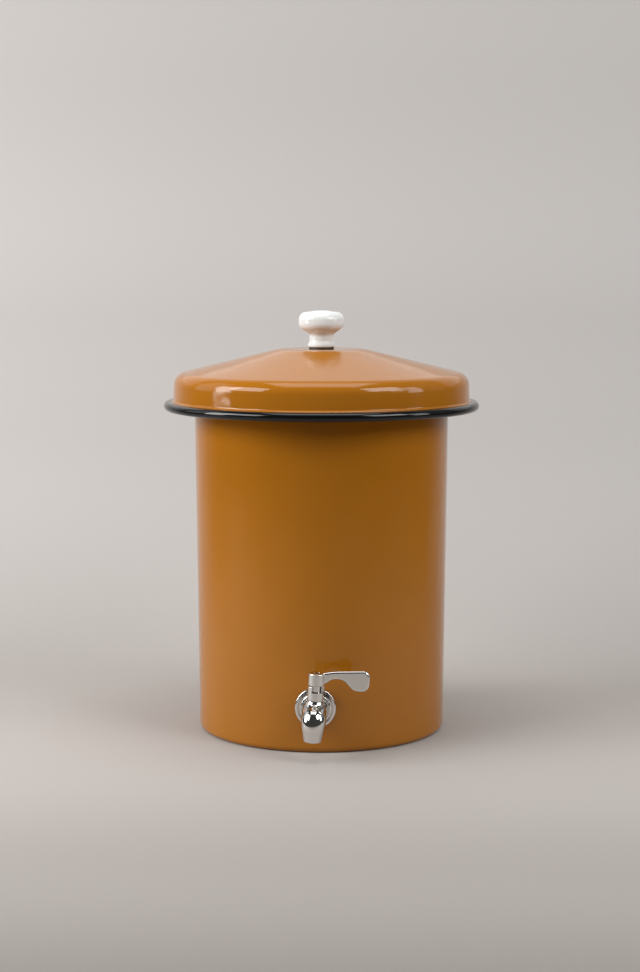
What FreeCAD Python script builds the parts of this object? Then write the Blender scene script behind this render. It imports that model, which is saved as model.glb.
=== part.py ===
import FreeCAD, Part
import math
import os

from FreeCAD import Vector

# Gravity water filter with tap, in millimetres. +Z is up and the tap faces -Y.
# The origin is the middle of the bucket's base, on the bucket's axis.

# Enamelled sheet steel
sheet = 1.2                     # steel with its enamel on both sides
seat_gap = 0.3                  # between a loose piece and what it rests on
thread_gap = 0.05               # between a threaded shank and its nut
gasket_gap = 0.05               # between a gasket and the wall that it seals

# Bucket
bucket_height = 294.0           # up to the top of the rolled rim
bucket_mouth_radius = 113.0     # outside of the wall at the rim
bucket_foot_radius = 109.8      # outside of the wall at the base
bucket_corner_radius = 5.0      # outside of the bend between base and wall
bucket_roll_radius = 3.5        # outside of the rolled rim
bucket_roll_sweep = 285.0       # degrees that the sheet is rolled round
base_ring_inner = 60.0          # pressed stiffening ring in the base
base_ring_outer = 86.0
base_ring_rise = 1.6
base_ring_ramp = 5.0
base_ring_bend = 3.0

# Clay filter pot, which hangs by its rim on the bucket's rim
pot_overhang = 12.5             # of the pot's rim past the bucket's mouth
pot_play = 2.6                  # round the pot, inside the bucket
pot_wall = 13.0
pot_floor = 15.0
pot_rim_thickness = 23.9
pot_depth = 200.0               # from the top of the rim to the underside
pot_foot_radius = 92.0
pot_rim_edge = 5.0
pot_inner_edge = 6.0
pot_foot_edge = 16.0
pot_inner_foot_edge = 12.0
pot_neck_fillet = 2.0

# Lid, which rests on the pot's rim and hangs down round it
lid_play = 4.3                  # between the pot's rim and the lid's wall
lid_wall_height = 31.2          # from the rolled edge's underside to the shoulder
lid_wall_flare = 0.8            # wider at the bottom of the wall
lid_shoulder_radius = 11.5      # outside
lid_slope = 13.7                # degrees, of the cone
lid_flat_radius = 37.0
lid_crown_bend = 45.0           # bend between the flat and the cone
lid_brim = 8.5                  # rolled edge past the foot of the wall
lid_roll_radius = 3.9
lid_roll_sweep = 262.0
lid_brim_bend = 5.0

# Knob and its fixing
knob_height = 32.4
knob_radius = 20.3
knob_neck_radius = 10.6
knob_foot_radius = 12.1
knob_foot_height = 2.4
knob_foot_flare = 2.8           # height over which the foot spreads from the neck
knob_foot_edge = 1.0
knob_neck_bend = 4.0
knob_cap_height = 21.3          # from the top of the neck to the crown
knob_cap_flare = 6.7            # height of the cap's sloping underside
knob_lower_edge = 7.0
knob_upper_edge = 10.0
knob_crown_rise = 2.3
knob_crown_radius = 5.0         # of the crown's flattest part
knob_crown_bend = 40.0
knob_gasket_radius = 11.0
knob_gasket_thickness = 1.5
knob_screw_radius = 2.5
knob_screw_length = 14.0
knob_screw_head_radius = 4.7
knob_screw_head_height = 3.2
knob_screw_head_bend = 2.2      # rounding of its head
knob_screw_slot = 1.2           # its width and its depth
knob_hole_gap = 0.3             # round the screw, in the lid
knob_washer_radius = 8.0
knob_washer_thickness = 1.0
knob_insert_radius = 4.5
knob_insert_length = 13.0

# Tap body
tap_height = 40.2               # of the shank's axis over the base
tap_turn = 3.5                  # degrees clockwise from upright, as it was tightened
shank_radius = 8.0
shank_length = 18.0             # behind the flange
shank_hole_gap = 0.25
flange_radius = 17.5
flange_thickness = 2.6
flange_back_edge = 0.4
flange_crown = 0.3              # that the rim falls towards its edge
flange_edge = 1.0
flange_rim_width = 2.2
flange_rim_bend = 0.8
flange_groove_depth = 0.8
flange_groove_ramp = 1.2
flange_groove_bend = 1.2
barrel_radius = 10.5
barrel_root_width = 2.0         # of the barrel's spread into the flange
barrel_root_length = 3.2
barrel_root_bend = 2.2
barrel_bend = 4.0
stem_reach = 20.8               # from the wall's face to the valve's axis
spout_reach = 10.0              # from the valve's axis to the mouth's
bend_radius = 11.0              # of the spout's centre line
spout_full_drop = 4.0           # below the shank's axis, where the spout starts to narrow
spout_taper = 1.5               # how late the spout narrows: 1 is a straight cone
nozzle_radius = 7.45
nozzle_height = 18.4            # of the spout's mouth over the base
spout_bore = 5.0
passage_bore = 4.0
valve_port = 2.6                # through the stem
sleeve_port = 2.9               # in the sleeve's sides

# Tap seals, washer and nut
outer_gasket_radius = 15.0
outer_gasket_thickness = 1.2    # at its middle
inner_gasket_radius = 13.0
inner_gasket_thickness = 2.4
backing_washer_radius = 12.5
backing_washer_thickness = 1.2
nut_across_flats = 22.0
nut_thickness = 5.5

# Valve, from the barrel up
turret_radius = 6.5             # shoulder on the barrel that the bonnet sits on
turret_skirt = 3.0              # its spread into the barrel
turret_root = 5.2               # height over the shank's axis where it starts, in the barrel
turret_land = 1.2               # its straight top
turret_bend = 3.6
turret_height = 11.8            # shoulder over the shank's axis
neck_radius = 5.9               # threaded neck under the bonnet
neck_height = 4.7
neck_edge = 0.4
sleeve_wall = 1.0
stem_radius = 3.75              # plug of the valve stem
stem_running_gap = 0.05
stem_end_gap = 0.1              # under and over the stem's plug
chamber_depth = 8.2             # below the shank's axis
spindle_radius = 2.5
drive_width = 4.0               # square on top of the spindle
drive_height = 7.2
drive_gap = 0.06
bonnet_radius = 7.0
bonnet_height = 11.5
bonnet_chamfer = 0.5
stop_slot_depth = 5.1
stop_slot_inner = 4.1
thrust_washer_radius = 4.0
thrust_washer_thickness = 0.8
o_ring_section = 0.5
o_ring_slack = 0.04             # between an O-ring and its groove's floor
o_ring_play = 0.1               # at each side of an O-ring in its groove
o_ring_heights = (-5.6, 6.4, 11.4)   # over the shank's axis

# Lever, which turns a quarter turn from the right to the front
lever_travel = 90.0
hub_radius = 7.0
hub_height = 10.2
hub_lower_edge = 0.5
hub_upper_edge = 0.9
lever_length = 44.7
lever_thickness = 4.2
lever_edge = 1.8
lever_root_inset = 0.8          # of the arm's root, under and over the hub's faces
arm_start = 14.0                # from the valve's axis, where the arm leaves its upward bend
arm_rise = 2.7                  # the arm's top there, over the hub's top
arm_bend = 60.0
arm_height = 7.0
arm_root_bend = 8.0             # of the arch under the arm
arm_root_run = 7.0              # along the arm, from the arch to the hub's inside
paddle_radius = 9.2
paddle_rise = 5.1               # the paddle's top over the hub's top
paddle_corner = 5.5             # rounding of its upper corner
paddle_slope = 45.0             # degrees, of its underside towards the arm
stop_pin_radius = 1.0
stop_pin_orbit = 5.3
stop_pin_angle = -14.0          # from the closed lever, in degrees, with minus to the front
stop_pin_gap = 0.15
stop_pin_grip = 3.0             # inside the hub
lever_screw_radius = 1.5
lever_screw_head_radius = 2.9
lever_screw_head_height = 1.5
lever_screw_length = 5.0
lever_screw_recess_gap = 0.15
hex_key_width = 2.0
hex_key_depth = 1.0


def polar(centre, radius, angle):
    """A point on a circle, with the angle in degrees."""
    turn = math.radians(angle)
    return (centre[0] + radius * math.cos(turn), centre[1] + radius * math.sin(turn))


def bend_path(corners):
    """Lines and tangent arcs through corners (x, z, bend radius), as a list of segments."""
    segments = []
    start = corners[0][:2]
    for before, corner, after in zip(corners, corners[1:], corners[2:]):
        tip, bend = corner[:2], corner[2]
        back = (before[0] - tip[0], before[1] - tip[1])
        on = (after[0] - tip[0], after[1] - tip[1])
        back_length, on_length = math.hypot(*back), math.hypot(*on)
        turn = math.atan2(-back[0] * on[1] + back[1] * on[0], -back[0] * on[0] - back[1] * on[1])
        if bend <= 0 or abs(turn) < 1e-6:
            segments.append(("line", start, tip))
            start = tip
            continue
        run = min(bend * math.tan(abs(turn) / 2), 0.49 * min(back_length, on_length))
        radius = run / math.tan(abs(turn) / 2)
        entry = (tip[0] + back[0] / back_length * run, tip[1] + back[1] / back_length * run)
        side = 1 if turn > 0 else -1
        heading = math.degrees(math.atan2(-back[1], -back[0]))
        centre = polar(entry, radius, heading + 90 * side)
        segments.append(("line", start, entry))
        segments.append(("arc", centre, radius, heading - 90 * side, math.degrees(turn)))
        start = polar(centre, radius, heading - 90 * side + math.degrees(turn))
    segments.append(("line", start, corners[-1][:2]))
    return segments


def roll_edge(path, radius, sweep):
    """Rolls the end of a path to its right, tangent to its last line."""
    start, end = path[-1][1:3]
    heading = math.degrees(math.atan2(end[1] - start[1], end[0] - start[0]))
    path.append(("arc", polar(end, radius, heading - 90), radius, heading + 90, -sweep))


def edge_of(segment, shift, place):
    """One segment moved sideways by shift (left of its heading is positive), as an edge."""
    if segment[0] == "line":
        start, end = segment[1], segment[2]
        length = math.hypot(end[0] - start[0], end[1] - start[1])
        if length < 1e-6:
            return None
        left = (-(end[1] - start[1]) / length * shift, (end[0] - start[0]) / length * shift)
        ends = [(p[0] + left[0], p[1] + left[1]) for p in (start, end)]
        return Part.LineSegment(place(*ends[0]), place(*ends[1])).toShape()
    centre, radius, begin, sweep = segment[1:]
    moved = radius - shift if sweep > 0 else radius + shift
    points = [place(*polar(centre, moved, begin + sweep * share)) for share in (0, 0.5, 1)]
    return Part.Arc(*points).toShape()


def upright(across, up):
    """A point of a profile that is turned round the Z axis."""
    return Vector(across, 0, up)


def sheet_section(segments, thickness):
    """The cut through a bent sheet whose middle follows the segments."""
    sides = []
    for shift in (thickness / 2, -thickness / 2):
        edges = [edge_of(s, shift, upright) for s in segments]
        sides.append([e for e in edges if e is not None])
    left, right = sides
    caps = [
        Part.LineSegment(right[0].valueAt(right[0].FirstParameter),
                         left[0].valueAt(left[0].FirstParameter)).toShape(),
        Part.LineSegment(left[-1].valueAt(left[-1].LastParameter),
                         right[-1].valueAt(right[-1].LastParameter)).toShape(),
    ]
    wire = Part.Wire(Part.__sortEdges__(left + right + caps))
    return Part.Face(wire)


def outline_face(corners, place):
    """A flat face inside corners (x, z, fillet radius), with its first corner left sharp."""
    path = bend_path(list(corners) + [corners[0]])
    edges = [edge_of(s, 0, place) for s in path]
    return Part.Face(Part.Wire(Part.__sortEdges__([e for e in edges if e is not None])))


def turned(face, base=Vector(0, 0, 0), axis=Vector(0, 0, 1)):
    """A face turned a full circle round an axis."""
    solid = face.revolve(base, axis, 360)
    if solid.Volume < 0:
        solid.reverse()
    return solid


def rod(radius, start, end):
    """A cylinder from one point to another."""
    return Part.makeCylinder(radius, (end - start).Length, start, end - start)


def ring(outer, inner, low, high, centre=(0, 0)):
    """An upright ring between two heights."""
    foot = Vector(centre[0], centre[1], low)
    head = Vector(centre[0], centre[1], high)
    return rod(outer, foot, head).cut(rod(inner, foot, head))


def bucket_wall_radius(height):
    """Outside of the bucket's wall at a height over the base."""
    return bucket_foot_radius + (bucket_mouth_radius - bucket_foot_radius) * height / bucket_height


def wall_envelope(inset):
    """The space inside the bucket's wall, moved inwards from the middle of its sheet."""
    low, high = sheet / 2, bucket_height - bucket_roll_radius
    lean = math.atan2(bucket_wall_radius(high) - bucket_wall_radius(low), high - low)
    across = sheet / 2 + inset / math.cos(lean)
    return Part.makeCone(bucket_wall_radius(low) - across, bucket_wall_radius(high) - across,
                         high - low, Vector(0, 0, low))


# Places that follow from the sizes
pot_rim_radius = bucket_mouth_radius + pot_overhang
pot_seat = bucket_height + seat_gap
pot_top = pot_seat + pot_rim_thickness
pot_neck_radius = bucket_wall_radius(pot_seat) - sheet - pot_play
lid_wall_radius = pot_rim_radius + lid_play + sheet
lid_inner_shoulder = lid_shoulder_radius - sheet
tap_wall = bucket_wall_radius(tap_height)
flange_back = tap_wall + outer_gasket_thickness
stem_out = tap_wall + stem_reach
spout_out = stem_out + spout_reach
shank_end = flange_back - shank_length
turret_top = tap_height + turret_height
neck_top = turret_top + neck_height
bonnet_top = turret_top + bonnet_height
hub_bottom = bonnet_top + thrust_washer_thickness
hub_top = hub_bottom + hub_height
drive_top = hub_bottom + drive_height
chamber_floor = tap_height - chamber_depth
sleeve_inner = stem_radius + stem_running_gap
sleeve_outer = sleeve_inner + sleeve_wall
stem_axis = Vector(0, -stem_out, 0)


def lid_inside_height(radius):
    """Height of the lid's inner face at a radius, counted from the shoulder's corner."""
    slope = math.radians(lid_slope)
    drop = sheet / math.cos(slope)
    cone = (lid_wall_radius - radius) * math.tan(slope) - drop
    bend_centre = lid_wall_radius - lid_shoulder_radius
    centre_height = -lid_shoulder_radius * math.tan((math.pi / 2 - slope) / 2)
    across = radius - bend_centre
    if across < lid_inner_shoulder * math.sin(slope):
        return cone
    return centre_height + math.sqrt(max(0.0, lid_inner_shoulder ** 2 - across ** 2))


def lid_corner_height():
    """Height of the lid's shoulder corner once the lid rests on the pot's rim."""
    edge = (pot_rim_radius - pot_rim_edge, pot_top - pot_rim_edge)
    touches = [polar(edge, pot_rim_edge, angle) for angle in range(0, 91)]
    return max(z - lid_inside_height(r) for r, z in touches) + seat_gap


lid_corner = lid_corner_height()
lid_underside = lid_corner - lid_wall_height
lid_top = lid_corner + (lid_wall_radius - lid_flat_radius) * math.tan(math.radians(lid_slope))
knob_foot = lid_top + knob_gasket_thickness


def bucket_shell():
    """Drawn steel bucket: pressed base, tapered wall, rim rolled outwards, and the tap's hole."""
    middle = sheet / 2
    wall_top = bucket_height - bucket_roll_radius
    corners = [
        (0, middle, 0),
        (base_ring_inner, middle, base_ring_bend),
        (base_ring_inner + base_ring_ramp, middle + base_ring_rise, base_ring_bend),
        (base_ring_outer - base_ring_ramp, middle + base_ring_rise, base_ring_bend),
        (base_ring_outer, middle, base_ring_bend),
        (bucket_wall_radius(0) - middle, middle, bucket_corner_radius - middle),
        (bucket_wall_radius(wall_top) - middle, wall_top, 0),
    ]
    path = bend_path(corners)
    roll_edge(path, bucket_roll_radius - middle, bucket_roll_sweep)
    shell = turned(sheet_section(path, sheet))
    hole = rod(shank_radius + shank_hole_gap, Vector(0, -shank_end, tap_height),
               Vector(0, -flange_back, tap_height))
    return shell.cut(hole)


def filter_pot():
    """Fired clay pot with a thick rim, porous all over."""
    foot = pot_top - pot_depth
    inner_mouth = pot_neck_radius - pot_wall
    inner_foot = pot_foot_radius - pot_wall
    corners = [
        (0, foot, 0),
        (pot_foot_radius, foot, pot_foot_edge),
        (pot_neck_radius, pot_seat, pot_neck_fillet),
        (pot_rim_radius, pot_seat, pot_rim_edge),
        (pot_rim_radius, pot_top, pot_rim_edge),
        (inner_mouth, pot_top, pot_inner_edge),
        (inner_foot, foot + pot_floor, pot_inner_foot_edge),
        (0, foot + pot_floor, 0),
    ]
    return turned(outline_face(corners, upright))


def lid_shell():
    """Pressed steel lid: flat crown, cone, round shoulder, short wall and a rolled edge."""
    middle = sheet / 2
    slope = math.radians(lid_slope)
    roll = lid_roll_radius - middle
    wall_foot = lid_wall_radius + lid_wall_flare
    roll_centre = (wall_foot + lid_brim - lid_roll_radius, lid_underside + lid_roll_radius)
    corner_drop = middle * math.tan((math.pi / 2 - slope) / 2)
    corners = [
        (0, lid_top - middle, 0),
        (lid_flat_radius, lid_top - middle, lid_crown_bend),
        (lid_wall_radius - middle, lid_corner - corner_drop, lid_shoulder_radius - middle),
        (wall_foot - middle, roll_centre[1] + roll, lid_brim_bend + middle),
        (roll_centre[0], roll_centre[1] + roll, 0),
    ]
    path = bend_path(corners)
    roll_edge(path, roll, lid_roll_sweep)
    shell = turned(sheet_section(path, sheet))
    hole = rod(knob_screw_radius + knob_hole_gap, Vector(0, 0, lid_top - 2 * sheet),
               Vector(0, 0, lid_top + sheet))
    return shell.cut(hole)


def lid_knob():
    """Glazed ceramic knob: round foot, waisted neck and a cushion-shaped cap."""
    top = knob_foot + knob_height
    neck_end = top - knob_cap_height
    foot_top = knob_foot + knob_foot_height
    corners = [
        (0, knob_foot, 0),
        (knob_foot_radius, knob_foot, knob_foot_edge),
        (knob_foot_radius, foot_top, knob_foot_edge),
        (knob_neck_radius, foot_top + knob_foot_flare, knob_neck_bend),
        (knob_neck_radius, neck_end, knob_neck_bend),
        (knob_radius, neck_end + knob_cap_flare, knob_lower_edge),
        (knob_radius, top - knob_crown_rise, knob_upper_edge),
        (knob_crown_radius, top, knob_crown_bend),
        (0, top, 0),
    ]
    knob = turned(outline_face(corners, upright))
    socket = rod(knob_insert_radius, Vector(0, 0, knob_foot), Vector(0, 0, knob_foot + knob_insert_length))
    return knob.cut(socket)


def knob_insert():
    """Threaded brass insert cemented into the knob."""
    return ring(knob_insert_radius, knob_screw_radius + thread_gap, knob_foot,
                knob_foot + knob_insert_length)


def knob_gasket():
    """Thin rubber ring that keeps the knob's foot off the enamel."""
    return ring(knob_gasket_radius, knob_screw_radius + knob_hole_gap, lid_top, knob_foot)


def knob_washer():
    """Steel washer inside the lid, under the screw's head."""
    face = lid_top - sheet
    return ring(knob_washer_radius, knob_screw_radius + knob_hole_gap,
                face - knob_washer_thickness, face)


def knob_screw():
    """Slotted round-head screw that holds the knob from inside the lid."""
    seat = lid_top - sheet - knob_washer_thickness
    shank = rod(knob_screw_radius, Vector(0, 0, seat), Vector(0, 0, seat + knob_screw_length))
    corners = [
        (0, seat, 0),
        (knob_screw_head_radius, seat, 0),
        (knob_screw_head_radius, seat - knob_screw_head_height, knob_screw_head_bend),
        (0, seat - knob_screw_head_height, 0),
    ]
    slot = Part.makeBox(2 * knob_screw_head_radius, knob_screw_slot, knob_screw_slot,
                        Vector(-knob_screw_head_radius, -knob_screw_slot / 2,
                               seat - knob_screw_head_height))
    return shank.fuse(turned(outline_face(corners, upright))).removeSplitter().cut(slot)


def along_tap(out, across):
    """A point of a profile that is turned round the shank's axis."""
    return Vector(0, -out, tap_height + across)


def spout_centre(angle):
    """Centre of the spout's bend, which turns from the shank's axis down to the mouth."""
    turn = math.radians(angle)
    start = spout_out - bend_radius
    return Vector(0, -(start + bend_radius * math.sin(turn)),
                  tap_height - bend_radius * (1 - math.cos(turn)))


def spout_section(angle, fall=0.0):
    """A round section across the spout at an angle of its bend, or below the bend by fall."""
    turn = math.radians(angle)
    centre = spout_centre(angle) - Vector(0, 0, fall)
    length = tap_height - nozzle_height - spout_full_drop
    share = max(0.0, (tap_height - centre.z - spout_full_drop) / length)
    radius = barrel_radius - (barrel_radius - nozzle_radius) * share ** spout_taper
    heading = Vector(0, -math.cos(turn), -math.sin(turn))
    return Part.Wire(Part.Circle(centre, heading, radius).toShape())


def spout():
    """The barrel's bent end, which narrows to the nozzle in a full, rounded taper."""
    bend_steps = 4
    fall_steps = 3
    fall = tap_height - bend_radius - nozzle_height
    sections = [spout_section(90 * step / bend_steps) for step in range(bend_steps + 1)]
    sections += [spout_section(90, fall * step / fall_steps) for step in range(1, fall_steps + 1)]
    return Part.makeLoft(sections, True, False)


def tap_body():
    """Cast steel tap body: threaded shank, dished flange, barrel, turret and spout."""
    front = flange_back + flange_thickness
    groove = front - flange_groove_depth
    corners = [
        (flange_back, 0, 0),
        (flange_back, flange_radius, flange_back_edge),
        (front - flange_crown, flange_radius, flange_edge),
        (front, flange_radius - flange_rim_width, flange_rim_bend),
        (groove, flange_radius - flange_rim_width - flange_groove_ramp, flange_groove_bend),
        (groove, barrel_radius + barrel_root_width, barrel_root_bend),
        (front + barrel_root_length, barrel_radius, barrel_bend),
        (spout_out - bend_radius, barrel_radius, 0),
        (spout_out - bend_radius, 0, 0),
    ]
    axis = Vector(0, 0, tap_height)
    body = turned(outline_face(corners, along_tap), axis, Vector(0, -1, 0))
    shank = rod(shank_radius, along_tap(shank_end, 0), along_tap(flange_back + 1, 0))
    body = body.fuse([shank, spout(), turret()])
    bores = [
        rod(passage_bore, along_tap(shank_end - 1, 0), along_tap(spout_out, 0)),
        rod(spout_bore, Vector(0, -spout_out, nozzle_height - 1), Vector(0, -spout_out, tap_height - 1)),
        rod(sleeve_outer, stem_axis + Vector(0, 0, chamber_floor), stem_axis + Vector(0, 0, neck_top + 1)),
    ]
    return body.cut(bores).removeSplitter()


def turret():
    """Shoulder and threaded neck that stand on the barrel and carry the bonnet."""
    low = tap_height + turret_root
    corners = [
        (0, low, 0),
        (turret_radius + turret_skirt, low, 0),
        (turret_radius, turret_top - turret_land, turret_bend),
        (turret_radius, turret_top, 0),
        (neck_radius, turret_top, 0),
        (neck_radius, neck_top, neck_edge),
        (0, neck_top, 0),
    ]
    return turned(outline_face(corners, upright)).translated(stem_axis)


def tap_outer_gasket():
    """Silicone ring between the flange and the bucket, shaped to the round wall."""
    blank = rod(outer_gasket_radius, along_tap(tap_wall - 3 * sheet, 0), along_tap(flange_back, 0))
    hole = rod(shank_radius, along_tap(shank_end, 0), along_tap(flange_back + 1, 0))
    return blank.cut([wall_envelope(-sheet / 2 - gasket_gap), hole])


def tap_inner_gasket():
    """Silicone ring inside the bucket, shaped to the round wall."""
    inner_face = tap_wall - sheet
    blank = rod(inner_gasket_radius, along_tap(inner_face - inner_gasket_thickness, 0),
                along_tap(inner_face + 3 * sheet, 0))
    hole = rod(shank_radius, along_tap(shank_end, 0), along_tap(flange_back, 0))
    return blank.common(wall_envelope(sheet / 2 + gasket_gap)).cut(hole)


def tap_backing_washer():
    """Steel washer that spreads the nut's load on the inner gasket."""
    front = tap_wall - sheet - inner_gasket_thickness
    back = front - backing_washer_thickness
    blank = rod(backing_washer_radius, along_tap(back, 0), along_tap(front, 0))
    return blank.cut(rod(shank_radius + thread_gap, along_tap(back, 0), along_tap(front, 0)))


def tap_lock_nut():
    """Hexagon nut inside the bucket, with its corners chamfered."""
    front = tap_wall - sheet - inner_gasket_thickness - backing_washer_thickness
    back = front - nut_thickness
    corner = nut_across_flats / math.sqrt(3)
    points = [along_tap(back, 0) + Vector(corner * math.cos(math.radians(60 * k)), 0,
                                         corner * math.sin(math.radians(60 * k))) for k in range(7)]
    prism = Part.Face(Part.makePolygon(points)).extrude(Vector(0, back - front, 0))
    lead = corner - nut_across_flats / 2
    outline = [
        (back, 0, 0),
        (back, corner - lead, 0),
        (back + 0.5 * lead, corner, 0),
        (front - 0.5 * lead, corner, 0),
        (front, corner - lead, 0),
        (front, 0, 0),
    ]
    blank = turned(outline_face(outline, along_tap), Vector(0, 0, tap_height), Vector(0, -1, 0))
    hole = rod(shank_radius + thread_gap, along_tap(back - 1, 0), along_tap(front + 1, 0))
    return prism.common(blank).cut(hole)


def valve_sleeve():
    """Plastic sleeve in the tap's chamber, with a port on the inlet and the outlet side."""
    sleeve = ring(sleeve_outer, sleeve_inner, chamber_floor, neck_top, (0, -stem_out))
    port = rod(sleeve_port, along_tap(stem_out - 2 * sleeve_outer, 0),
               along_tap(stem_out + 2 * sleeve_outer, 0))
    return sleeve.cut(port)


def o_ring_groove(height):
    """Groove in the stem that holds one O-ring."""
    half = o_ring_section + o_ring_play
    centre = tap_height + height
    floor = stem_radius - 2 * o_ring_section - o_ring_slack
    return ring(stem_radius + 1, floor, centre - half, centre + half, (0, -stem_out))


def valve_stem():
    """Plug with a cross port, a spindle and a square drive. The port lies across the flow at rest."""
    plug_low = chamber_floor + stem_end_gap
    plug_high = neck_top - stem_end_gap
    plug = rod(stem_radius, stem_axis + Vector(0, 0, plug_low), stem_axis + Vector(0, 0, plug_high))
    spindle = rod(spindle_radius, stem_axis + Vector(0, 0, plug_high), stem_axis + Vector(0, 0, hub_bottom))
    drive = Part.makeBox(drive_width, drive_width, drive_top - hub_bottom,
                         stem_axis + Vector(-drive_width / 2, -drive_width / 2, hub_bottom))
    port = rod(valve_port, Vector(-2 * stem_radius, -stem_out, tap_height),
               Vector(2 * stem_radius, -stem_out, tap_height))
    screw_hole = rod(lever_screw_radius + thread_gap,
                     stem_axis + Vector(0, 0, drive_top - lever_screw_length),
                     stem_axis + Vector(0, 0, drive_top + 1))
    grooves = [o_ring_groove(height) for height in o_ring_heights]
    return plug.fuse([spindle, drive]).cut([port, screw_hole] + grooves)


def stem_o_rings():
    """Rubber O-rings on the stem, above and below its port."""
    orbit = stem_radius - o_ring_section
    return Part.makeCompound([
        Part.makeTorus(orbit, o_ring_section, stem_axis + Vector(0, 0, tap_height + height))
        for height in o_ring_heights
    ])


def pie(radius, low, high, start, sweep):
    """A slice of a cylinder round the valve's axis, from one angle over a sweep in degrees."""
    slice_ = Part.makeCylinder(radius, high - low, Vector(0, 0, low), Vector(0, 0, 1), sweep)
    slice_.rotate(Vector(0, 0, 0), Vector(0, 0, 1), start)
    return slice_.translated(stem_axis)


def tap_bonnet():
    """Collar nut over the turret's neck, with a slot that stops the lever at both ends."""
    corners = [
        (spindle_radius + stem_running_gap, neck_top, 0),
        (neck_radius + thread_gap, neck_top, 0),
        (neck_radius + thread_gap, turret_top, 0),
        (bonnet_radius, turret_top, bonnet_chamfer),
        (bonnet_radius, bonnet_top, bonnet_chamfer),
        (spindle_radius + stem_running_gap, bonnet_top, 0),
    ]
    bonnet = turned(outline_face(corners, upright)).translated(stem_axis)
    reach = math.degrees(math.asin((stop_pin_radius + stop_pin_gap) / stop_pin_orbit))
    slot = pie(2 * bonnet_radius, bonnet_top - stop_slot_depth, bonnet_top + 1,
               stop_pin_angle - lever_travel - reach, lever_travel + 2 * reach)
    core = rod(stop_slot_inner, stem_axis + Vector(0, 0, bonnet_top - stop_slot_depth - 1),
               stem_axis + Vector(0, 0, bonnet_top + 2))
    return bonnet.cut(slot.cut(core))


def stem_thrust_washer():
    """Slippery washer between the bonnet and the lever's hub."""
    return ring(thrust_washer_radius, spindle_radius + stem_running_gap, bonnet_top, hub_bottom,
                (0, -stem_out))


def lever_plate():
    """The lever's flat arm, which bends upwards to its paddle. The paddle hangs under the arm."""
    top = hub_top + paddle_rise
    low = top - 2 * paddle_radius
    climb = (paddle_rise - arm_rise) / (lever_length - arm_start)
    slope = math.tan(math.radians(paddle_slope))
    heel = lever_length - paddle_radius * (1 + math.tan(math.radians(paddle_slope / 2)))
    arm_low = hub_top + arm_rise - arm_height
    heel_top = (low - arm_low + heel * slope + arm_start * climb) / (slope + climb)
    arch = arm_start - arm_height * climb
    corners = [
        (0, hub_top - lever_root_inset, 0),
        (arm_start, hub_top + arm_rise, arm_bend),
        (lever_length, top, paddle_corner),
        (lever_length, low, paddle_radius),
        (heel, low, paddle_radius),
        (heel_top, arm_low + (heel_top - arm_start) * climb, paddle_radius),
        (arch, arm_low, arm_root_bend),
        (arch - arm_root_run, hub_bottom + lever_root_inset, 0),
        (0, hub_bottom + lever_root_inset, 0),
    ]

    def place(across, up):
        return Vector(across, -stem_out - lever_thickness / 2, up)

    plate = outline_face(corners, place).extrude(Vector(0, lever_thickness, 0))
    free_edges = [e for e in plate.Edges
                  if e.BoundBox.YLength < 1e-6 and e.BoundBox.XMax > hub_radius]
    return plate.makeFillet(lever_edge, free_edges)


def tap_lever():
    """Cast lever: round hub, arm and paddle, with a square socket and a screw recess."""
    hub_outline = [
        (0, hub_bottom, 0),
        (hub_radius, hub_bottom, hub_lower_edge),
        (hub_radius, hub_top, hub_upper_edge),
        (0, hub_top, 0),
    ]
    hub = turned(outline_face(hub_outline, upright)).translated(stem_axis)
    socket_width = drive_width + 2 * drive_gap
    socket = Part.makeBox(socket_width, socket_width, drive_height + drive_gap,
                          stem_axis + Vector(-socket_width / 2, -socket_width / 2, hub_bottom))
    recess_floor = hub_top - lever_screw_head_height - lever_screw_recess_gap
    recess = rod(lever_screw_head_radius + lever_screw_recess_gap,
                 stem_axis + Vector(0, 0, recess_floor), stem_axis + Vector(0, 0, hub_top + 5))
    clearance = rod(lever_screw_radius + lever_screw_recess_gap,
                    stem_axis + Vector(0, 0, hub_bottom), stem_axis + Vector(0, 0, hub_top))
    body = hub.fuse(lever_plate()).cut([socket, recess, clearance, stop_pin()])
    return body.removeSplitter()


def stop_pin():
    """Steel pin pressed into the hub, which runs in the bonnet's slot."""
    foot = stem_axis + Vector(0, 0, bonnet_top - stop_slot_depth + seat_gap)
    turn = math.radians(stop_pin_angle)
    foot = foot + Vector(stop_pin_orbit * math.cos(turn), stop_pin_orbit * math.sin(turn), 0)
    return rod(stop_pin_radius, foot, Vector(foot.x, foot.y, hub_bottom + stop_pin_grip))


def lever_screw():
    """Socket-head screw that holds the lever on the spindle's square."""
    seat = hub_top - lever_screw_head_height - lever_screw_recess_gap
    tip = drive_top - lever_screw_length + stem_end_gap
    shank = rod(lever_screw_radius, stem_axis + Vector(0, 0, tip), stem_axis + Vector(0, 0, seat))
    head = rod(lever_screw_head_radius, stem_axis + Vector(0, 0, seat),
               stem_axis + Vector(0, 0, seat + lever_screw_head_height))
    corner = hex_key_width / math.sqrt(3)
    high = seat + lever_screw_head_height
    points = [stem_axis + Vector(corner * math.cos(math.radians(60 * k)),
                                 corner * math.sin(math.radians(60 * k)), high) for k in range(7)]
    key = Part.Face(Part.makePolygon(points)).extrude(Vector(0, 0, -hex_key_depth))
    return shank.fuse(head).cut(key).removeSplitter()


FIXED_PIECES = [
    bucket_shell, filter_pot,
    lid_shell, lid_knob, knob_insert, knob_gasket, knob_washer, knob_screw,
    tap_outer_gasket, tap_inner_gasket, tap_backing_washer, tap_lock_nut,
]

# These turn with the tap's body about its shank
TAP_PIECES = [
    tap_body, valve_sleeve, valve_stem, stem_o_rings, tap_bonnet, stem_thrust_washer,
    tap_lever, stop_pin, lever_screw,
]

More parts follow.
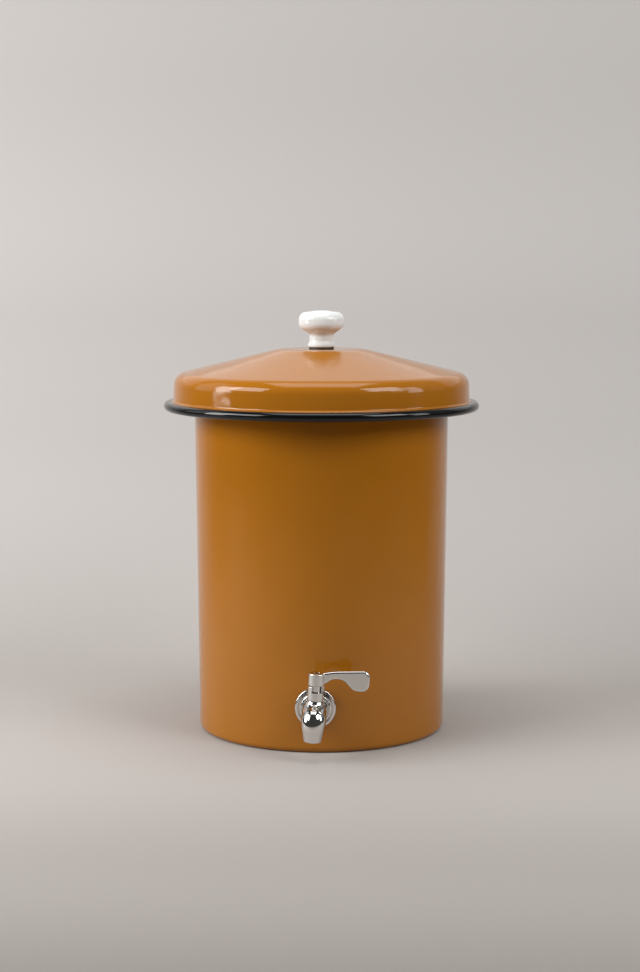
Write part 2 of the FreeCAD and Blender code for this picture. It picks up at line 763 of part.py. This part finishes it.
os.makedirs("parts", exist_ok=True)
for piece in FIXED_PIECES + TAP_PIECES:
    shape = piece()
    if piece in TAP_PIECES:
        shape.rotate(Vector(0, 0, tap_height), Vector(0, 1, 0), tap_turn)
    shape.exportStep(os.path.join("parts", piece.__name__ + ".step"))
    print(piece.__name__, "solids", len(shape.Solids), "valid", shape.isValid(),
          "volume", round(shape.Volume, 1))
print("lid underside", round(lid_underside, 2), "lid top", round(lid_top, 2))
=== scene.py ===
import math

import bpy
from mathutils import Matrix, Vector


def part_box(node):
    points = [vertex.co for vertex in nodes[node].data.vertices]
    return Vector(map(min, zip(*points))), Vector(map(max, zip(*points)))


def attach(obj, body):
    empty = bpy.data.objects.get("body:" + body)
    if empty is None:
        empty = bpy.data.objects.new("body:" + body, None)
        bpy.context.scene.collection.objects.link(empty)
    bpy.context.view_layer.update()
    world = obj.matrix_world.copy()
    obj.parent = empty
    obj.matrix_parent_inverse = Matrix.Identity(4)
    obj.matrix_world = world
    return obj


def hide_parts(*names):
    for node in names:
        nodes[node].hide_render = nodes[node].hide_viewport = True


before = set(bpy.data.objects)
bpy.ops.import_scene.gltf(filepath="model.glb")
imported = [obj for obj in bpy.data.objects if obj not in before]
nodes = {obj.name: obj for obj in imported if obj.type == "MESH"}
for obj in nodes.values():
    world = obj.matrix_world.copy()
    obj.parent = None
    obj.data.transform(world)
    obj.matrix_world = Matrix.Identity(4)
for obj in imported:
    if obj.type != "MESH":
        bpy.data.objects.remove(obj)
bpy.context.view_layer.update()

# Bucket: drawn sheet steel, dipped in mustard vitreous enamel and fired, so it is glossy inside
# and out, with the faint orange peel of fired glass, a few iron specks and some clouding.
# Lengths are in metres, and each grain is given in waves per metre.
enamel_light = (0.385, 0.139, 0.0090)
enamel_deep = (0.350, 0.124, 0.0074)
enamel_speck = (0.09, 0.035, 0.010)
enamel_shine = 0.38             # strength of its mirror image; 0.5 is that of plain glass
enamel_gloss = (0.05, 0.13)     # roughness at its smoothest and its roughest
cloud_grain = 8.0
gloss_grain = 30.0
speck_grain = 95.0
speck_core = 0.012              # size of a speck's dark middle, as a share of the speck spacing
speck_edge = 0.035              # where it has faded out, likewise
speck_strength = 0.5
peel_grain = 60.0
peel_depth = 0.00022
fine_peel_grain = 420.0
fine_peel_depth = peel_depth / 12


def finish(name, colour, roughness, metallic=0.0):
    """A material and its shader, with the values that don't vary over the surface."""
    material = bpy.data.materials.new(name)
    material.use_nodes = True
    shader = material.node_tree.nodes["Principled BSDF"]
    shader.inputs["Base Color"].default_value = (*colour, 1.0)
    shader.inputs["Roughness"].default_value = roughness
    shader.inputs["Metallic"].default_value = metallic
    return material, shader


def link(tree, *pairs):
    """Joins outputs to inputs, given in pairs."""
    for start, end in zip(pairs[::2], pairs[1::2]):
        tree.links.new(start, end)


def grain(material, scale, detail=3.0, stretch=(1, 1, 1)):
    """Noise that keeps its place on the piece, finer along the axes with more stretch."""
    tree = material.node_tree
    place = tree.nodes.new("ShaderNodeTexCoord")
    mapping = tree.nodes.new("ShaderNodeMapping")
    mapping.inputs["Scale"].default_value = stretch
    noise = tree.nodes.new("ShaderNodeTexNoise")
    noise.inputs["Scale"].default_value = scale
    noise.inputs["Detail"].default_value = detail
    link(tree, place.outputs["Object"], mapping.inputs["Vector"],
         mapping.outputs["Vector"], noise.inputs["Vector"])
    return noise.outputs["Fac"]


def spread(material, value, low, high, start=0.3, end=0.7):
    """Turns a value between start and end into one between low and high."""
    span = material.node_tree.nodes.new("ShaderNodeMapRange")
    for socket, number in zip(("From Min", "From Max", "To Min", "To Max"), (start, end, low, high)):
        span.inputs[socket].default_value = number
    link(material.node_tree, value, span.inputs["Value"])
    return span.outputs["Result"]


def vary_gloss(material, shader, marks, gloss):
    """Lets the roughness run between the two values of gloss, with the marks."""
    link(material.node_tree, spread(material, marks, *gloss), shader.inputs["Roughness"])


def blend(material, share, first, second):
    """Mixes two colours, each a constant or an output."""
    mix = material.node_tree.nodes.new("ShaderNodeMix")
    mix.data_type = "RGBA"
    link(material.node_tree, share, mix.inputs["Factor"])
    for name, colour in (("A", first), ("B", second)):
        socket = next(s for s in mix.inputs if s.name == name and s.type == "RGBA")
        if isinstance(colour, tuple):
            socket.default_value = (*colour, 1.0)
        else:
            link(material.node_tree, colour, socket)
    return next(s for s in mix.outputs if s.type == "RGBA")


def emboss(material, shader, height, depth, below=None):
    """Adds a relief of the given depth in metres, over the one below it."""
    bump = material.node_tree.nodes.new("ShaderNodeBump")
    bump.inputs["Distance"].default_value = depth
    link(material.node_tree, height, bump.inputs["Height"],
         bump.outputs["Normal"], shader.inputs["Normal"])
    if below is not None:
        link(material.node_tree, below.outputs["Normal"], bump.inputs["Normal"])
    return bump


def vitreous_enamel(name):
    """Fired enamel: the material, its shader and the output that carries its colour."""
    material, shader = finish(name, enamel_light, enamel_gloss[1])
    shader.inputs["Specular IOR Level"].default_value = enamel_shine
    clouds = spread(material, grain(material, cloud_grain), 0.0, 1.0)
    clouded = blend(material, clouds, enamel_light, enamel_deep)
    place = material.node_tree.nodes.new("ShaderNodeTexCoord")
    cells = material.node_tree.nodes.new("ShaderNodeTexVoronoi")
    cells.inputs["Scale"].default_value = speck_grain
    link(material.node_tree, place.outputs["Object"], cells.inputs["Vector"])
    specks = spread(material, cells.outputs["Distance"], speck_strength, 0.0, speck_core, speck_edge)
    colour = blend(material, specks, clouded, enamel_speck)
    vary_gloss(material, shader, grain(material, gloss_grain, 4.0), enamel_gloss)
    peel = emboss(material, shader, grain(material, peel_grain, 1.0), peel_depth)
    emboss(material, shader, grain(material, fine_peel_grain, 2.0), fine_peel_depth, peel)
    return material, shader, colour


def dress(material, *names):
    """Gives CAD nodes a finish in place of their plain one."""
    for name in names:
        for material_slot in nodes[name].material_slots:
            material_slot.material = material


mustard, mustard_shader, mustard_colour = vitreous_enamel("mustard_enamel")
link(mustard.node_tree, mustard_colour, mustard_shader.inputs["Base Color"])
dress(mustard, "bucket_shell")

# Tap seals and fixing: a silicone ring on each side of the wall, a zinc-plated washer, and a
# hexagon nut turned from steel bar that pulls the tap's flange against the bucket.
silicone_grey = (0.62, 0.61, 0.59)
zinc_grey = (0.56, 0.57, 0.58)
turned_grey = (0.52, 0.51, 0.49)
tool_depth = 0.00002
tool_rings = (0.05, 0.05, 1)    # stretches the marks round the piece
no_direction = (1, 1, 1)


def moulded(name, colour, gloss, sheen_grain, relief_grain, depth):
    """A moulded plastic or rubber with uneven sheen and a fine relief."""
    material, shader = finish(name, colour, gloss[0])
    vary_gloss(material, shader, grain(material, sheen_grain), gloss)
    emboss(material, shader, grain(material, relief_grain), depth)
    return material


def worked_metal(name, colour, gloss, stretch, depth, marks_grain=900.0):
    """Bare metal with the marks of the tool or the wheel, drawn out along it."""
    material, shader = finish(name, colour, gloss[0], 1.0)
    marks = grain(material, marks_grain, 4.0, stretch)
    vary_gloss(material, shader, marks, gloss)
    emboss(material, shader, marks, depth)
    return material


silicone = moulded("silicone", silicone_grey, (0.38, 0.55), 250.0, 900.0, 0.00003)
zinc = worked_metal("zinc_plate", zinc_grey, (0.25, 0.45), no_direction, tool_depth)
turned_steel = worked_metal("turned_steel", turned_grey, (0.2, 0.36), tool_rings, tool_depth)
dress(silicone, "tap_outer_gasket", "tap_inner_gasket")
dress(zinc, "tap_backing_washer")
dress(turned_steel, "tap_lock_nut")

# Tap: cast stainless steel, ground and polished on a wheel until only hair-fine marks are left.
# The collar and the lever are finished the same way, and the collar's slot stops the lever.
polish_grey = (0.70, 0.685, 0.66)
polish_gloss = (0.05, 0.12)
polish_lines = (1, 1, 0.1)      # stretches the marks up the tap
polish_depth = 0.000004
polish_grain = 700.0

polish = worked_metal("polished_steel", polish_grey, polish_gloss, polish_lines, polish_depth, polish_grain)
dress(polish, "tap_body", "tap_bonnet", "tap_lever")

# Valve: a turned steel plug with a cross port in a plastic sleeve, sealed by three rubber rings.
# A slippery washer lies under the lever's hub, and a pin and a screw join the lever to it.
acetal_white = (0.78, 0.78, 0.75)
rubber_black = (0.02, 0.02, 0.02)

acetal = moulded("white_acetal", acetal_white, (0.3, 0.45), 400.0, 1200.0, 0.00002)
rubber = moulded("black_rubber", rubber_black, (0.5, 0.75), 300.0, 1500.0, 0.00003)
dress(acetal, "valve_sleeve", "stem_thrust_washer")
dress(rubber, "stem_o_rings")
dress(turned_steel, "valve_stem", "stop_pin", "lever_screw")

# Filter pot: fired clay with sawdust burnt out of it, so it is porous. It is thrown on a wheel,
# which leaves rings round it inside and out, and it hangs by its thick rim on the bucket's rim.
clay_pale = (0.52, 0.235, 0.125)
clay_dark = (0.36, 0.140, 0.070)
clay_gloss = (0.8, 0.98)
clay_mottle_grain = 14.0
clay_sheen_grain = 120.0
sand_grain = 260.0
sand_depth = 0.0005
pore_grain = 1400.0
pore_depth = 0.0002
pot_low, pot_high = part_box("filter_pot")
pot_rim_height = 0.0239
pot_wall = 0.013
pot_floor = 0.015
pot_neck = 0.1092               # radius under the rim
pot_neck_bend = 0.002
pot_rim_bend = 0.005
pot_inner_bend = 0.006
pot_foot = 0.092                # radius at the underside
pot_foot_bend = 0.016
pot_inner_foot_bend = 0.012
throw_pitch = 0.0085            # from one ring of the potter's fingers to the next
throw_depth = 0.0005
lump_depth = 0.0004
lump_grain = 22.0
lump_sway = 0.8                 # of the rings, as a share of their pitch
points_per_ring = 8
bend_steps = 8
turn_steps = 150
seam_gap = 0.00001


def rounded(corners, pitch):
    """Points along a profile whose corners (across, up, bend) are rounded, pitch apart at most."""
    ends = [Vector(corners[0][:2])]
    for before, corner, after in zip(corners, corners[1:], corners[2:]):
        tip = Vector(corner[:2])
        back = (Vector(before[:2]) - tip).normalized()
        onward = (Vector(after[:2]) - tip).normalized()
        half = back.angle(onward) / 2
        middle = tip + (back + onward).normalized() * corner[2] / math.sin(half)
        start = tip + back * corner[2] / math.tan(half) - middle
        end = tip + onward * corner[2] / math.tan(half) - middle
        turn = math.atan2(start.x * end.y - start.y * end.x, start.dot(end))
        for step in range(bend_steps + 1):
            angle = turn * step / bend_steps
            ends.append(middle + Vector((start.x * math.cos(angle) - start.y * math.sin(angle),
                                         start.x * math.sin(angle) + start.y * math.cos(angle))))
    ends.append(Vector(corners[-1][:2]))
    points = [ends[0]]
    for end in ends[1:]:
        start = points[-1]
        count = max(1, math.ceil((end - start).length / pitch))
        points += [start.lerp(end, step / count) for step in range(1, count + 1)]
    return points


def throwing_group(rows):
    """Geometry Nodes that throw a profile into a pot, with rings and lumps in its surface."""
    group = bpy.data.node_groups.new("thrown_clay", "GeometryNodeTree")
    sockets = group.interface
    sockets.new_socket("Profile", in_out="INPUT", socket_type="NodeSocketGeometry")
    for name, value in (("Ring Pitch", throw_pitch), ("Ring Depth", throw_depth),
                        ("Lump Depth", lump_depth)):
        item = sockets.new_socket(name, in_out="INPUT", socket_type="NodeSocketFloat")
        item.default_value = value
    item = sockets.new_socket("Steps Round", in_out="INPUT", socket_type="NodeSocketInt")
    item.default_value = turn_steps
    sockets.new_socket("Clay", in_out="INPUT", socket_type="NodeSocketMaterial")
    sockets.new_socket("Pot", in_out="OUTPUT", socket_type="NodeSocketGeometry")
    new = group.nodes.new
    given = new("NodeGroupInput")
    result = new("NodeGroupOutput")

    def math_node(operation, first, second, third=None):
        """A Math node on outputs or numbers."""
        node = new("ShaderNodeMath")
        node.operation = operation
        for socket, value in zip(node.inputs, (first, second, third)):
            if isinstance(value, (int, float)):
                socket.default_value = value
            elif value is not None:
                group.links.new(value, socket)
        return node.outputs["Value"]

    # A sheet with a row for each point of the profile, which is then bent round the axis
    sheet = new("GeometryNodeMeshGrid")
    sheet.inputs["Vertices Y"].default_value = rows
    group.links.new(given.outputs["Steps Round"], sheet.inputs["Vertices X"])
    spot = new("GeometryNodeInputPosition")
    across = new("ShaderNodeSeparateXYZ")
    group.links.new(spot.outputs["Position"], across.inputs["Vector"])
    angle = math_node("MULTIPLY", across.outputs["X"], 2 * math.pi)
    row = math_node("MULTIPLY", math_node("ADD", across.outputs["Y"], 0.5), rows - 1)
    row = math_node("ROUND", row, 0.0)

    picked = new("GeometryNodeSampleIndex")
    picked.data_type = "FLOAT_VECTOR"
    link(group, given.outputs["Profile"], picked.inputs["Geometry"],
         spot.outputs["Position"], picked.inputs["Value"], row, picked.inputs["Index"])
    cut = new("ShaderNodeSeparateXYZ")
    group.links.new(picked.outputs["Value"], cut.inputs["Vector"])

    def on_circle(radius):
        """The point at that radius, at the row's height."""
        point = new("ShaderNodeCombineXYZ")
        link(group, math_node("MULTIPLY", radius, math_node("COSINE", angle, 0.0)), point.inputs["X"],
             math_node("MULTIPLY", radius, math_node("SINE", angle, 0.0)), point.inputs["Y"],
             cut.outputs["Z"], point.inputs["Z"])
        return point.outputs["Vector"]

    # The surface is sunk below the profile by the rings, which sway with the lumps
    lumps = new("ShaderNodeTexNoise")
    lumps.inputs["Scale"].default_value = lump_grain
    group.links.new(on_circle(cut.outputs["X"]), lumps.inputs["Vector"])
    turns = math_node("DIVIDE", cut.outputs["Z"], given.outputs["Ring Pitch"])
    turns = math_node("ADD", turns, math_node("MULTIPLY", lumps.outputs["Fac"], lump_sway))
    wave = math_node("SINE", math_node("MULTIPLY", turns, 2 * math.pi), 0.0)
    wave = math_node("MULTIPLY_ADD", wave, 0.5, 0.5)
    lump = math_node("MULTIPLY", lumps.outputs["Fac"], given.outputs["Lump Depth"])
    sunk = math_node("ADD", math_node("MULTIPLY", wave, given.outputs["Ring Depth"]), lump)
    radius = math_node("MAXIMUM", math_node("SUBTRACT", cut.outputs["X"], sunk), 0.0)

    bent = new("GeometryNodeSetPosition")
    seam = new("GeometryNodeMergeByDistance")
    seam.inputs["Distance"].default_value = seam_gap
    smooth = new("GeometryNodeSetShadeSmooth")
    whole = new("GeometryNodeRealizeInstances")
    coat = new("GeometryNodeSetMaterial")
    link(group, sheet.outputs["Mesh"], bent.inputs["Geometry"],
         on_circle(radius), bent.inputs["Position"],
         bent.outputs["Geometry"], seam.inputs["Geometry"],
         seam.outputs["Geometry"], smooth.inputs["Geometry"],
         smooth.outputs["Geometry"], whole.inputs["Geometry"],
         whole.outputs["Geometry"], coat.inputs["Geometry"],
         given.outputs["Clay"], coat.inputs["Material"],
         coat.outputs["Geometry"], result.inputs["Pot"])
    return group


clay, clay_shader = finish("fired_clay", clay_pale, clay_gloss[1])
mottle = spread(clay, grain(clay, clay_mottle_grain, 5.0), 0.0, 1.0)
link(clay.node_tree, blend(clay, mottle, clay_pale, clay_dark), clay_shader.inputs["Base Color"])
vary_gloss(clay, clay_shader, grain(clay, clay_sheen_grain), clay_gloss)
sand = emboss(clay, clay_shader, grain(clay, sand_grain, 4.0), sand_depth)
emboss(clay, clay_shader, grain(clay, pore_grain, 3.0), pore_depth, sand)

pot_seat = pot_high.z - pot_rim_height
profile = rounded([
    (0.0, pot_low.z, 0.0),
    (pot_foot, pot_low.z, pot_foot_bend),
    (pot_neck, pot_seat, pot_neck_bend),
    (pot_high.x, pot_seat, pot_rim_bend),
    (pot_high.x, pot_high.z, pot_rim_bend),
    (pot_neck - pot_wall, pot_high.z, pot_inner_bend),
    (pot_foot - pot_wall, pot_low.z + pot_floor, pot_inner_foot_bend),
    (0.0, pot_low.z + pot_floor, 0.0),
], throw_pitch / points_per_ring)
profile_line = bpy.data.meshes.new("pot_profile")
profile_line.from_pydata([(point.x, 0.0, point.y) for point in profile],
                         [(k, k + 1) for k in range(len(profile) - 1)], [])
thrower = bpy.data.objects.new("pot_profile", profile_line)
bpy.context.scene.collection.objects.link(thrower)
throwing = throwing_group(len(profile))
thrown = thrower.modifiers.new("throwing", "NODES")
thrown.node_group = throwing
clay_input = next(item for item in throwing.interface.items_tree if item.name == "Clay")
thrown[clay_input.identifier] = clay
bpy.context.view_layer.update()
graph = bpy.context.evaluated_depsgraph_get()
pot_mesh = bpy.data.meshes.new_from_object(thrower.evaluated_get(graph))
bpy.data.objects.remove(thrower)
clay_pot = bpy.data.objects.new("clay_pot", pot_mesh)
bpy.context.scene.collection.objects.link(clay_pot)
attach(clay_pot, "pot")
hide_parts("filter_pot")

# Lid: a pressed steel dome in the same enamel. Its rolled edge is dipped in black afterwards,
# so the black starts on the brim and its border wavers a little, as a dip does.
black_enamel = (0.004, 0.004, 0.0045)
black_width = 0.0070
black_waver = 0.0003
black_waver_grain = 25.0
black_blur = 0.0004

lid_enamel, lid_shader, lid_colour = vitreous_enamel("lid_enamel")
lid_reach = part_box("lid_shell")[1].x
lid_tree = lid_enamel.node_tree
lid_place = lid_tree.nodes.new("ShaderNodeTexCoord")
flattened = lid_tree.nodes.new("ShaderNodeVectorMath")
flattened.operation = "MULTIPLY"
flattened.inputs[1].default_value = (1.0, 1.0, 0.0)
from_axis = lid_tree.nodes.new("ShaderNodeVectorMath")
from_axis.operation = "LENGTH"
border = lid_tree.nodes.new("ShaderNodeMath")
waver = spread(lid_enamel, grain(lid_enamel, black_waver_grain, 2.0), -black_waver, black_waver)
link(lid_tree, lid_place.outputs["Object"], flattened.inputs[0],
     flattened.outputs["Vector"], from_axis.inputs[0],
     from_axis.outputs["Value"], border.inputs[0], waver, border.inputs[1])
black_start = lid_reach - black_width
dipped = spread(lid_enamel, border.outputs["Value"], 0.0, 1.0, black_start, black_start + black_blur)
link(lid_tree, blend(lid_enamel, dipped, lid_colour, black_enamel), lid_shader.inputs["Base Color"])
dress(lid_enamel, "lid_shell")

# Knob: slip-cast ceramic under a thick white glaze that clouds a little where it pools. A brass
# insert is cemented in it, a rubber ring keeps it off the lid, and a plated screw holds it.
glaze_white = (0.78, 0.80, 0.80)
glaze_pool = (0.73, 0.75, 0.74)
glaze_gloss = (0.05, 0.13)
glaze_cloud_grain = 60.0
glaze_gloss_grain = 90.0
glaze_ripple_grain = 130.0
glaze_ripple_depth = 0.00012
brass_yellow = (0.60, 0.42, 0.16)

glaze, glaze_shader = finish("white_glaze", glaze_white, glaze_gloss[0])
glaze_clouds = spread(glaze, grain(glaze, glaze_cloud_grain), 0.0, 1.0)
link(glaze.node_tree, blend(glaze, glaze_clouds, glaze_white, glaze_pool), glaze_shader.inputs["Base Color"])
vary_gloss(glaze, glaze_shader, grain(glaze, glaze_gloss_grain), glaze_gloss)
emboss(glaze, glaze_shader, grain(glaze, glaze_ripple_grain, 1.0), glaze_ripple_depth)
brass = worked_metal("brass", brass_yellow, (0.22, 0.38), tool_rings, tool_depth)
dress(glaze, "lid_knob")
dress(brass, "knob_insert")
dress(rubber, "knob_gasket")
dress(zinc, "knob_washer", "knob_screw")

# Paper sweep: a roll of pale matte paper that lies on the table and curves up behind the filter.
# Painted shade darkens its colour towards its front end and its sides, a painted band of light brightens it
# up the wall, and its right side is painted a little darker than its left.
# Seen from behind it is left out, so that it doesn't hide the filter.
sweep_front = -2.6
fold_start = 0.25
fold_radius = 0.35
fold_steps = 24
sweep_height = 3.0
sweep_half_width = 3.0
paper_shade_stops = [                 # distance along the table and up the wall, and the colour there, with painted light and shade in it
    (-1.60, (0.09, 0.083, 0.077)),
    (-0.75, (0.22, 0.200, 0.185)),
    (-0.45, (0.33, 0.304, 0.283)),
    (-0.20, (0.40, 0.372, 0.350)),
    (0.02, (0.40, 0.370, 0.350)),
    (0.12, (0.41, 0.380, 0.355)),
    (0.40, (0.41, 0.385, 0.367)),
    (0.75, (0.43, 0.410, 0.395)),
    (1.03, (0.49, 0.470, 0.455)),
    (1.25, (0.44, 0.420, 0.400)),
    (1.60, (0.40, 0.380, 0.365)),
]
lit_left_share, shaded_right_share = 1.02, 0.98
paper_side_reach = 0.4
side_shade_from, side_shade_to = 0.45, 1.1
side_shade_keeps = 0.25                # what is left of its tone where the painted side shade ends
paper_roughness = 0.8
paper_grain = 800.0
paper_depth = 0.00008

paper_base = paper_shade_stops[4][1]
paper, paper_shader = finish("sweep_paper", paper_base, paper_roughness)
paper_tree = paper.node_tree
paper_place = paper_tree.nodes.new("ShaderNodeTexCoord")
paper_axes = paper_tree.nodes.new("ShaderNodeSeparateXYZ")
along_sweep = paper_tree.nodes.new("ShaderNodeMath")
link(paper_tree, paper_place.outputs["Object"], paper_axes.inputs["Vector"],
     paper_axes.outputs["Y"], along_sweep.inputs[0], paper_axes.outputs["Z"], along_sweep.inputs[1])
first_stop, last_stop = paper_shade_stops[0][0], paper_shade_stops[-1][0]
# Painted light and shade along the sweep: darker towards its front end, lighter in a band up the wall
ramp = paper_tree.nodes.new("ShaderNodeValToRGB")
ramp.color_ramp.interpolation = "EASE"
while len(ramp.color_ramp.elements) < len(paper_shade_stops):
    ramp.color_ramp.elements.new(0.5)
for element, (distance, colour) in zip(ramp.color_ramp.elements, paper_shade_stops):
    element.position = (distance - first_stop) / (last_stop - first_stop)
    element.color = (*colour, 1.0)
share = spread(paper, along_sweep.outputs["Value"], 0.0, 1.0, first_stop, last_stop)
# Painted light: the left side a little lighter and the right a little darker
side = spread(paper, paper_axes.outputs["X"], lit_left_share, shaded_right_share,
              -paper_side_reach, paper_side_reach)
sideways_off = paper_tree.nodes.new("ShaderNodeMath")
sideways_off.operation = "ABSOLUTE"
link(paper_tree, paper_axes.outputs["X"], sideways_off.inputs[0])
# Painted shade towards the sides, where less light falls
painted_side_shade = spread(paper, sideways_off.outputs["Value"], 1.0, side_shade_keeps, side_shade_from, side_shade_to)
tone = paper_tree.nodes.new("ShaderNodeMath")
tone.operation = "MULTIPLY"
toned = paper_tree.nodes.new("ShaderNodeVectorMath")
toned.operation = "SCALE"
link(paper_tree, share, ramp.inputs["Fac"], ramp.outputs["Color"], toned.inputs["Vector"],
     side, tone.inputs[0], painted_side_shade, tone.inputs[1], tone.outputs["Value"], toned.inputs["Scale"],
     toned.outputs["Vector"], paper_shader.inputs["Base Color"])
emboss(paper, paper_shader, grain(paper, paper_grain, 4.0), paper_depth)
paper_sides = paper_tree.nodes.new("ShaderNodeNewGeometry")
see_through = paper_tree.nodes.new("ShaderNodeBsdfTransparent")
one_way = paper_tree.nodes.new("ShaderNodeMixShader")
link(paper_tree, paper_sides.outputs["Backfacing"], one_way.inputs["Fac"],
     paper_shader.outputs["BSDF"], one_way.inputs[1], see_through.outputs["BSDF"], one_way.inputs[2],
     one_way.outputs["Shader"], paper_tree.nodes["Material Output"].inputs["Surface"])

sweep_line = [(sweep_front, 0.0)]
for step in range(fold_steps + 1):
    angle = math.pi / 2 * step / fold_steps
    sweep_line.append((fold_start + fold_radius * math.sin(angle), fold_radius * (1 - math.cos(angle))))
sweep_line.append((fold_start + fold_radius, sweep_height))
sweep_points = [(x, y, z) for y, z in sweep_line for x in (-sweep_half_width, sweep_half_width)]
sweep_faces = [(2 * k, 2 * k + 1, 2 * k + 3, 2 * k + 2) for k in range(len(sweep_line) - 1)]
sweep_mesh = bpy.data.meshes.new("paper_sweep")
sweep_mesh.from_pydata(sweep_points, [], sweep_faces)
sweep_mesh.shade_smooth()
sweep_mesh.materials.append(paper)
sweep = bpy.data.objects.new("paper_sweep", sweep_mesh)
bpy.context.scene.collection.objects.link(sweep)

# Studio light: soft boxes high on the left and right, one overhead and a wide flat one behind,
# which the lid's slope mirrors. The room itself is dim, so that the enamel keeps its colour.
room_light = 0.05
middle = 0.22                   # height on the filter that the side lamps and the top lamp point at
lamps = {                       # place, height that it points at, width and height, brightness
    "left_high": ((-1.30, -0.85, 1.08), middle, (0.8, 0.8), 7.4),
    "left_side": ((-1.50, -0.35, 0.75), middle, (0.5, 1.0), 9.8),
    "left_back": ((-1.30, 0.20, 0.90), middle, (0.5, 1.2), 1.0),
    "right_high": ((1.20, -0.90, 1.20), middle, (0.8, 0.8), 6.9),
    "right_side": ((1.50, -0.35, 0.75), middle, (0.4, 0.9), 4.0),
    "right_back": ((1.30, 0.20, 0.90), middle, (0.5, 1.2), 0.2),
    "overhead": ((0.0, -0.25, 1.90), middle, (1.3, 1.2), 3.1),
    "behind": ((0.0, 0.50, 0.68), 0.68, (2.2, 0.40), 0.38),
}

world = bpy.data.worlds.new("studio")
bpy.context.scene.world = world
world.use_nodes = True
world.node_tree.nodes["Background"].inputs["Color"].default_value = (1.0, 1.0, 1.0, 1.0)
world.node_tree.nodes["Background"].inputs["Strength"].default_value = room_light
for name, (place, aim_height, size, brightness) in lamps.items():
    lamp = bpy.data.lights.new(name, "AREA")
    lamp.shape = "RECTANGLE"
    lamp.size, lamp.size_y = size
    lamp.energy = brightness * math.pi * size[0] * size[1]
    holder = bpy.data.objects.new(name, lamp)
    holder.location = place
    aim = Vector((0.0, 0.0, aim_height)) - Vector(place)
    holder.rotation_euler = aim.to_track_quat("-Z", "Y").to_euler()
    holder.visible_camera = False
    bpy.context.scene.collection.objects.link(holder)

# Camera: where the photographer stood, a little to the right of the tap and above the lid.
focal_length = 74.1
film_width = 36.0
camera_distance = 1.7807
camera_height = 0.4275
camera_side = -0.0013
camera_turn = math.radians(2.65)
camera_tilt = math.radians(6.736)

lens = bpy.data.cameras.new("camera")
lens.lens = focal_length
lens.sensor_width = film_width
camera = bpy.data.objects.new("camera", lens)
backward = Vector((math.sin(camera_turn), -math.cos(camera_turn), 0.0))
sideways = Vector((math.cos(camera_turn), math.sin(camera_turn), 0.0))
upward = Vector((0.0, 0.0, 1.0))
camera.location = backward * camera_distance + sideways * camera_side + upward * camera_height
camera.rotation_euler = (math.pi / 2 - camera_tilt, 0.0, camera_turn)
bpy.context.scene.collection.objects.link(camera)
bpy.context.scene.camera = camera
bpy.context.scene.view_settings.view_transform = "Standard"
